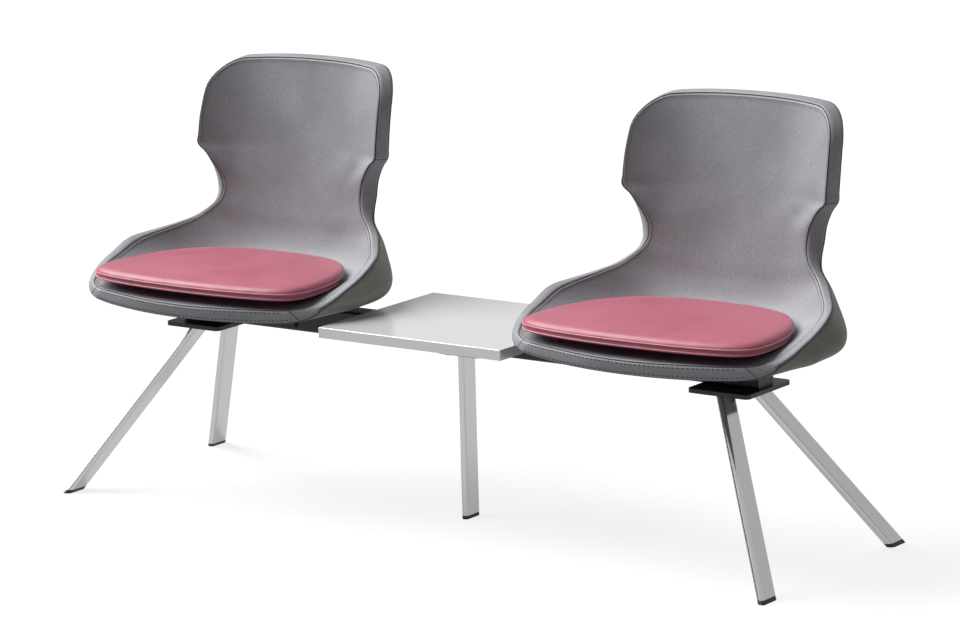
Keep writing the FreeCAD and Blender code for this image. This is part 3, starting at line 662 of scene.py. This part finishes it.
# Side profile, from the top panel's roll down to the belly: inset and drop in millimetres.
PAD_PROFILE = [
    (24, 0.2), (17, 1.0), (11, 2.4), (6.5, 4.6), (3.2, 7.4), (1.4, 10.2), (1.2, 11.6), (2.4, 12.4),
    (1.0, 12.9), (-0.2, 13.7), (-0.2, 14.5), (0.9, 15.3), (1.5, 16.2), (0.7, 18.4), (0.9, 20.4),
    (2.0, 21.2), (0.8, 21.8), (0.1, 22.7), (0.9, 23.6), (2.6, 24.3), (5.2, 25.8), (11, 27.2),
    (24, 28.2), (48, 31.0), (80, 35.0), (118, 38.2),
]
# Rings further in than this inset, in millimetres, are the outline drawn together to its centre.
EDGE_INSET = 24
BELLY_REACH = 215
# Towards the rear the sides draw in downwards, clear of the rising shell: by TUCK at a drop of
# TUCK_DROP millimetres, from TUCK_START_Y on and in full after TUCK_RUN.
TUCK = 52 * MM
TUCK_DROP = 40
TUCK_POWER = 1.2
TUCK_START_Y = -0.12
TUCK_RUN = 0.16
TUCK_SIDE_POWER = 1.5
# Small puckers along the upper seam: how many, how far and how fast their spacing drifts,
# and their height on five rows in millimetres.
PUCKERS = 23
PUCKER_DRIFT = 1.3
PUCKER_DRIFT_STEP = 0.11
PUCKER_HEIGHTS = (0.10, 0.22, 0.30, 0.22, 0.10)
PUCKER_FIRST_ROW = 2
# The piping's inset and the drops of its two cords are millimetres, as in the profile.
PIPING_RADIUS = 1.4 * MM
PIPING_INSET = 0.3
PIPING_DROPS = (12.2, 21.4)


def pad_outline(turns):
    """Squared ellipse, |x / half| ** power + |y / reach| ** power = 1, counter-clockwise. Behind
    its middle it is longer and squarer than in front."""
    c = np.cos(turns)
    s = np.sin(turns)
    rear = s > 0
    power = np.where(rear, PAD_REAR_POWER, PAD_FRONT_POWER)
    reach = np.where(rear, PAD_REAR_Y - PAD_MIDDLE_Y, PAD_MIDDLE_Y - PAD_FRONT_Y)
    x = PAD_HALF * np.sign(c) * np.abs(c) ** (2 / power)
    y = PAD_MIDDLE_Y + reach * np.sign(s) * np.abs(s) ** (2 / power)
    return np.stack([x, y], -1)


def evenly(loop, count):
    """The same closed loop with count points at equal distances."""
    closed = np.concatenate([loop, loop[:1]])
    travel = np.concatenate([[0], np.cumsum(np.linalg.norm(np.diff(closed, axis=0), axis=-1))])
    at = np.linspace(0, travel[-1], count, endpoint=False)
    return np.stack([np.interp(at, travel, closed[:, k]) for k in range(loop.shape[1])], -1)


# The outline is smoothed by means of five points and its outward direction by means of
# three, so that the corners stay soft.
outline = evenly(pad_outline(np.linspace(0, 2 * math.pi, FINE_AROUND, endpoint=False)), PAD_AROUND)
for _ in range(CORNER_PASSES):
    outline = sum(np.roll(outline, k, axis=0) for k in range(-2, 3)) / 5
outline[:, 0] *= PAD_HALF / np.abs(outline[:, 0]).max()
outline = evenly(outline, PAD_AROUND)
way = unit(np.roll(outline, -1, axis=0) - np.roll(outline, 1, axis=0))
outward = np.stack([way[:, 1], -way[:, 0]], -1)
for _ in range(DIRECTION_PASSES):
    outward = unit(outward + np.roll(outward, 1, axis=0) + np.roll(outward, -1, axis=0))
rear_share = np.clip((outline[:, 1] - TUCK_START_Y) / TUCK_RUN, 0, 1) ** TUCK_SIDE_POWER


def at_height(ring, z):
    """A flat ring lifted to height z."""
    return np.concatenate([ring, np.full((PAD_AROUND, 1), z)], axis=1)


def pad_ring(inset, drop):
    """Ring of the pad's side: the outline moved in by inset and by the tuck, and down by drop.
    Past EDGE_INSET it is scaled towards the centre instead, so that it never crosses itself."""
    tuck = TUCK * (drop / TUCK_DROP) ** TUCK_POWER * rear_share
    ring = outline - outward * (min(inset, EDGE_INSET) * MM + tuck)[:, None]
    ring = PAD_CENTRE + (ring - PAD_CENTRE) * (1 - max(inset - EDGE_INSET, 0) / BELLY_REACH)
    return at_height(ring, PAD_TOP - drop * MM)


first_inset, first_drop = PAD_PROFILE[0]
top_z = PAD_TOP - first_drop * MM
top_ring = outline - outward * first_inset * MM
shares = np.linspace(0, 1, PAD_TOP_STEPS)[1:-1]
top_rings = [at_height(PAD_CENTRE + share * (top_ring - PAD_CENTRE),
                       top_z + PAD_CROWN * (1 - share**CROWN_POWER)) for share in shares]
pad_rows = np.array(top_rings + [pad_ring(inset, drop) for inset, drop in PAD_PROFILE])
around = np.arange(PAD_AROUND)
wave = np.sin(around / PAD_AROUND * 2 * math.pi * PUCKERS
              + PUCKER_DRIFT * np.sin(around * PUCKER_DRIFT_STEP))
puckered = len(shares) + PUCKER_FIRST_ROW + np.arange(len(PUCKER_HEIGHTS))
pad_rows[puckered, :, 2] += np.array(PUCKER_HEIGHTS)[:, None] * MM * wave
poles = np.array([(*PAD_CENTRE, top_z + PAD_CROWN), (*PAD_CENTRE, PAD_TOP - PAD_PROFILE[-1][1] * MM)])
pad_points = np.concatenate([pad_rows.reshape(-1, 3), poles])

after = (around + 1) % PAD_AROUND
row_starts = np.arange(len(pad_rows) - 1)[:, None] * PAD_AROUND
side_faces = np.stack([row_starts + around, row_starts + around + PAD_AROUND,
                       row_starts + after + PAD_AROUND, row_starts + after], -1).reshape(-1, 4)
top_pole = np.full(PAD_AROUND, len(pad_rows) * PAD_AROUND)
last_row = (len(pad_rows) - 1) * PAD_AROUND
pole_faces = np.concatenate([np.stack([top_pole, around, after], -1),
                             np.stack([top_pole + 1, last_row + after, last_row + around], -1)])

# Aniline-dyed leather: clear, warm colour with a soft sheen. Its pebble of about 1.4 mm is
# drawn as 2.4 mm so that it shows.
pad_leather = leather("aniline_rose_leather", "AC5F6F", "9C5060", 0.44, 2.4)
# The piping is painted lighter than the pad, a painted highlight on its round cords, and is stretched
# smooth over its cord.
piping_highlight_leather = leather("piping_rose_leather_painted_highlight", "CC8797", "C07989", 0.40, 1.6)

outward_level = np.concatenate([outward, np.zeros((PAD_AROUND, 1))], axis=1)
piping_points, piping_faces = joined([cord(pad_ring(PIPING_INSET, drop), outward_level,
                                           PIPING_RADIUS, True) for drop in PIPING_DROPS])
for side, place in SEAT_PLACES.items():
    shift = np.array([place, 0, 0])
    piping = make_object("pad_piping_" + side, piping_points + shift, [piping_faces], piping_highlight_leather)
    finish_piece(piping)
    pad = make_object("pad_" + side, pad_points + shift, [side_faces, pole_faces], pad_leather)
    finish_piece(pad, ["seat_pad_cushion_" + side, "seat_pad_base_" + side])


# Legs: flat-sided steel tube with round edges, polished and chrome plated, cut level for
# the glides. They are plain in colour and mirror the room.


def finish(name, colour, second, roughness, grain_mm, metallic, bump):
    """A hard finish whose colour, gloss and surface vary a little, over one grain size."""
    material, tree, output = new_material(name)
    place = add_node(tree, "ShaderNodeTexCoord").outputs["Object"]
    speckle = add_node(tree, "ShaderNodeTexNoise",
                       {"Vector": place, "Scale": 1 / (grain_mm * MM), "Detail": 4.0})
    mixed = add_node(tree, "ShaderNodeMix",
                     {0: speckle.outputs[0], 6: linear(second), 7: linear(colour)}, data_type="RGBA")
    gloss = add_node(tree, "ShaderNodeMapRange",
                     {0: speckle.outputs[0], 1: 0.3, 2: 0.7, 3: roughness * 0.9, 4: roughness * 1.1})
    relief = add_node(tree, "ShaderNodeBump",
                      {"Height": speckle.outputs[0], "Strength": bump, "Distance": 0.1 * MM})
    body = add_node(tree, "ShaderNodeBsdfPrincipled",
                    {"Base Color": mixed.outputs[2], "Roughness": gloss.outputs[0],
                     "Metallic": metallic, "Normal": relief.outputs[0]})
    tree.links.new(body.outputs[0], output.inputs[0])
    return material


def give(material, *starts):
    """Puts a material on every node whose name starts with one of the words."""
    for name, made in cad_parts.items():
        if name.startswith(starts):
            made.data.materials.clear()
            made.data.materials.append(material)


# Chrome plate over polished steel: a smooth mirror that is only slightly soft. The centre
# leg's flange and bolts begin with its name too, and get their own finish below.
chrome = finish("polished_chrome_plate", "D8D9DB", "D2D3D5", 0.14, 333, metallic=1.0, bump=0.0)
give(chrome, "leg_front", "leg_rear", "centre_leg")


# Beam, plates and angles: steel tube and sheet, powder coated black and bolted together.
# The coat is satin with a fine orange peel of about 1 mm.

black_steel = finish("black_powder_coat", "1B1B1C", "151516", 0.42, 1.11, metallic=0.0, bump=0.15)
give(black_steel, "beam_tube", "leg_head_plate", "seat_carrier", "seat_angle", "table_plate")

# The centre leg's flange is brushed steel plate: mid grey, with a soft, patchy gloss.
brushed = finish("brushed_steel_plate", "8D8E90", "838486", 0.32, 3.33, metallic=1.0, bump=0.2)
give(brushed, "centre_leg_flange")
# Screws, bolts and nuts are zinc plated: paler, and dulled by the plating's spangle.
zinc = finish("zinc_plated_steel", "A9AAAC", "9C9D9F", 0.35, 2, metallic=1.0, bump=0.2)
give(zinc, "leg_head_bolts", "centre_leg_bolts", "cross_bolts", "cross_nuts",
     "angle_bolts", "shell_bolts", "table_screws")


# Glides and end caps: injection moulded black polyethylene, pushed into the tubes. It has
# a slightly waxy gloss over a fine moulded grain.

polyethylene = finish("moulded_polyethylene", "121213", "0E0E0F", 0.38, 1.67, metallic=0.0, bump=0.2)
give(polyethylene, "glide", "beam_end_cap")


# Table: folded sheet steel with a satin pale grey coat that shows a very fine brushing
# across its depth and softly reflects what stands behind it.

# Spacing and length of the brush lines in millimetres, drawn coarser than the real grit.
BRUSH_PITCH_MM = 1.11
BRUSH_LENGTH_MM = 83.3

table_coat, tree, output = new_material("satin_lacquered_sheet")
place = add_node(tree, "ShaderNodeTexCoord").outputs["Object"]
close = 1 / (BRUSH_PITCH_MM * MM)
stretched = add_node(tree, "ShaderNodeMapping",
                     {"Vector": place, "Scale": (close, 1 / (BRUSH_LENGTH_MM * MM), close)})
brushing = add_node(tree, "ShaderNodeTexNoise",
                    {"Vector": stretched.outputs[0], "Scale": 1.0, "Detail": 3.0})
tone = add_node(tree, "ShaderNodeMix", {0: brushing.outputs[0], 6: linear("D2D2D4"), 7: linear("DADADC")},
                data_type="RGBA")
relief = add_node(tree, "ShaderNodeBump",
                  {"Height": brushing.outputs[0], "Strength": 0.08, "Distance": 0.05 * MM})
coat = add_node(tree, "ShaderNodeBsdfPrincipled",
                {"Base Color": tone.outputs[2], "Roughness": 0.16, "Metallic": 0.25,
                 "Normal": relief.outputs[0], "IOR": 1.5, "Specular IOR Level": 0.6})
tree.links.new(coat.outputs[0], output.inputs[0])
give(table_coat, "table_top")
